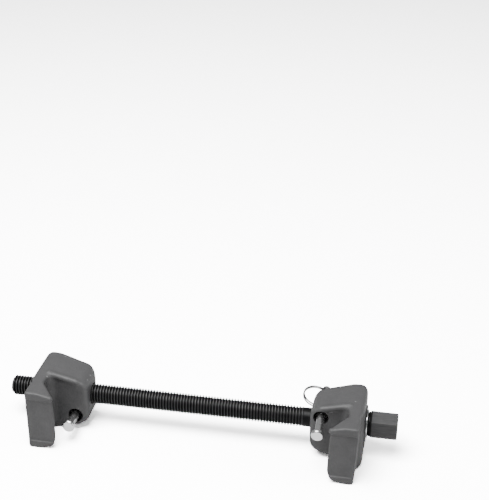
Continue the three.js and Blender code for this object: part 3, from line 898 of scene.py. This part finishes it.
def split_ring(name, centre, hole, swing_axis):
    """Two turns of wire round centre, through the hole, with a step half way between them."""
    outward = hole - centre
    radius = outward.length
    outward.normalize()
    tangent = swing_axis.normalized()
    normal = tangent.cross(outward).normalized()
    normal *= math.copysign(1, normal.z)
    points = []
    faces = []
    rings = []
    for step in range(RING_STEPS + 1):
        share = step / RING_STEPS
        turn = RING_START + 4 * math.pi * share * WOUND_SHARE
        cross_over = float(ease(0.46, 0.54, share))
        side = TURN_SPACING / 2 * (2 * cross_over - 1)
        radial = outward * math.cos(turn) + tangent * math.sin(turn)
        opened = math.sin(TURNS_SPRUNG_APART) * cross_over * (1 - math.cos(turn)) / 2 * radius
        middle = centre + radial * radius + normal * (side + opened)
        taper = min(1.0, 0.55 + 6 * min(share, 1 - share) * RING_STEPS / 12)
        ring = []
        for index in range(WIRE_SIDES):
            angle = 2 * math.pi * index / WIRE_SIDES
            offset = radial * math.cos(angle) + normal * math.sin(angle)
            ring.append(len(points))
            points.append(middle + offset * WIRE_RADIUS * taper)
        rings.append(ring)
    for low, high in zip(rings, rings[1:]):
        for index in range(WIRE_SIDES):
            after = (index + 1) % WIRE_SIDES
            faces.append((low[index], high[index], high[after], low[after]))
    faces.append(tuple(rings[0]))
    faces.append(tuple(reversed(rings[-1])))
    return smooth_shaded(mesh_from(name, points, faces), 50)


for jaw_name in jaws:
    node = jaw_name + "_pin_ring"
    low, high = (Vector(corner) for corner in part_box(node))
    swing = joints[jaw_name.replace("_jaw", "_ring_swing")]
    hole = Vector(swing["pos_m"])
    ring = split_ring(node + "_wire", (low + high) / 2, hole, Vector(swing["axis"]))
    ring.data.materials.append(nickel)
    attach(ring, jaw_name.replace("_jaw", "_ring_body"))
    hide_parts(node)

# ---- Ball detents -----------------------------------------------------------------------
# A ground steel ball sits in each pin's pocket on a short coil spring, and stands a little
# proud of the pin, so that it clicks behind the counterbore's floor and holds the pin home.

SPRING_WIRE_RADIUS = 0.00018
SPRING_TURNS = 4
SPRING_STEPS = 24
SPRING_WIRE_SIDES = 8
SPRING_RADIUS = 0.00136
SPRING_SLACK = 0.0001

ground, tree, shader = metal_finish("ground_ball_steel", 1.0, 0.12)
skin = placed_group(tree, grain, Pit_Scale=2600.0, Blotch_Scale=500.0)
tone = blend_colours(tree, skin.outputs["Blotch"], (0.55, 0.56, 0.57), (0.7, 0.7, 0.71))
tree.links.new(tone, shader.inputs["Base Color"])
tree.links.new(varied(tree, skin.outputs["Blotch"], 0.08, 0.2), shader.inputs["Roughness"])


def coil_spring(name, place, low, high, radius):
    """A closed coil of round wire along local Z, with its first and last turns laid flat."""
    points = []
    faces = []
    rings = []
    count = SPRING_TURNS * SPRING_STEPS
    for step in range(count + 1):
        share = step / count
        turn = 2 * math.pi * SPRING_TURNS * share
        rise = float(ease(0.12, 0.88, share)) * (high - low - 2 * SPRING_WIRE_RADIUS)
        radial = Vector((math.cos(turn), math.sin(turn), 0))
        height = low + SPRING_WIRE_RADIUS + rise
        middle = radial * (radius - SPRING_WIRE_RADIUS) + Vector((0, 0, height))
        ring = []
        for index in range(SPRING_WIRE_SIDES):
            angle = 2 * math.pi * index / SPRING_WIRE_SIDES
            offset = radial * math.cos(angle) + Vector((0, 0, math.sin(angle)))
            ring.append(len(points))
            points.append(place @ (middle + offset * SPRING_WIRE_RADIUS))
        rings.append(ring)
    for first, second in zip(rings, rings[1:]):
        for index in range(SPRING_WIRE_SIDES):
            after = (index + 1) % SPRING_WIRE_SIDES
            faces.append((first[index], second[index], second[after], first[after]))
    faces.append(tuple(rings[0]))
    faces.append(tuple(reversed(rings[-1])))
    return smooth_shaded(mesh_from(name, points, faces), 50)


for jaw_name, facing in (("plain_jaw", 1), ("threaded_jaw", -1)):
    place = pin_place(jaw_name + "_lock_pin", facing)
    at_pocket = place @ Matrix.Translation(Vector((0, DETENT_FROM_HEAD, 0)))
    ball_node = jaw_name + "_detent_ball"
    low, high = (Vector(corner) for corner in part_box(ball_node))
    centre = (low + high) / 2
    arc = [(BALL_RADIUS * math.sin(turn), -BALL_RADIUS * math.cos(turn))
           for turn in np.linspace(0, math.pi, 25)]
    ball = turned(ball_node + "_ground", arc, 40, Matrix.Translation(centre))
    smooth_shaded(ball, 60)
    ball.data.materials.append(ground)
    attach(ball, jaw_name.replace("_jaw", "_ball_body"))
    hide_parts(ball_node)

    spring_node = jaw_name + "_detent_spring"
    ball_up = (centre - at_pocket.translation).dot(at_pocket.col[2].to_3d())
    floor_up = BALL_POCKET_FLOOR + SPRING_SLACK
    top_up = ball_up - BALL_RADIUS - SPRING_SLACK
    spring = coil_spring(spring_node + "_coil", at_pocket, floor_up, top_up, SPRING_RADIUS)
    spring.data.materials.append(ground)
    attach(spring, jaw_name.replace("_jaw", "_pin_body"))
    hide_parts(spring_node)
    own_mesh(spring)

# ---- Floor and light --------------------------------------------------------------------
# A seamless white sweep under a wide softbox in front and a low reflector at the right, in a
# pale room, so that shadows are short and soft. The paper is exposed until it burns out.

FLOOR_HALF = 3
BURNT_OUT_WHITE = 4.8
ROOM_GLOW = 0.30

floor_mesh = bpy.data.meshes.new("studio_floor")
floor_corners = [(x * FLOOR_HALF, y * FLOOR_HALF, 0)
                 for x, y in ((-1, -1), (1, -1), (1, 1), (-1, 1))]
floor_mesh.from_pydata(floor_corners, [], [(0, 1, 2, 3)])
floor = new_object("studio_floor", floor_mesh)
paper, tree, shader = metal_finish("white_sweep_paper", 0.0, 0.9, 0.1)
sheet_tone = noise_node(tree, tree.nodes.new("ShaderNodeTexCoord").outputs["Object"], 3.0)
tree.links.new(blend_colours(tree, sheet_tone, (0.60, 0.60, 0.60), (0.63, 0.63, 0.63)),
               shader.inputs["Base Color"])
burnt_out = tree.nodes.new("ShaderNodeBsdfDiffuse")
burnt_out.inputs["Color"].default_value = (BURNT_OUT_WHITE, BURNT_OUT_WHITE, BURNT_OUT_WHITE, 1)
seen = tree.nodes.new("ShaderNodeLightPath")
shown = tree.nodes.new("ShaderNodeMixShader")
tree.links.new(seen.outputs["Is Camera Ray"], shown.inputs["Fac"])
tree.links.new(shader.outputs["BSDF"], shown.inputs[1])
tree.links.new(burnt_out.outputs["BSDF"], shown.inputs[2])
tree.links.new(shown.outputs["Shader"], tree.nodes["Material Output"].inputs["Surface"])
floor.data.materials.append(paper)

world = bpy.data.worlds.new("pale_room")
world.use_nodes = True
world.node_tree.nodes["Background"].inputs["Color"].default_value = (1, 1, 1, 1)
world.node_tree.nodes["Background"].inputs["Strength"].default_value = ROOM_GLOW
bpy.context.scene.world = world


def softbox(name, place, target, width, depth, power):
    lamp = bpy.data.lights.new(name, "AREA")
    lamp.shape = "RECTANGLE"
    lamp.size = width
    lamp.size_y = depth
    lamp.energy = power
    thing = bpy.data.objects.new(name, lamp)
    thing.location = place
    thing.rotation_euler = (Vector(target) - Vector(place)).to_track_quat("-Z", "Y").to_euler()
    bpy.context.collection.objects.link(thing)


softbox("front_softbox", (-0.22, -0.28, 1.2), (0, 0, 0), 0.9, 0.8, 46)
softbox("side_reflector", (1.1, 0.1, 0.35), (0, 0, 0.05), 0.5, 0.6, 8)
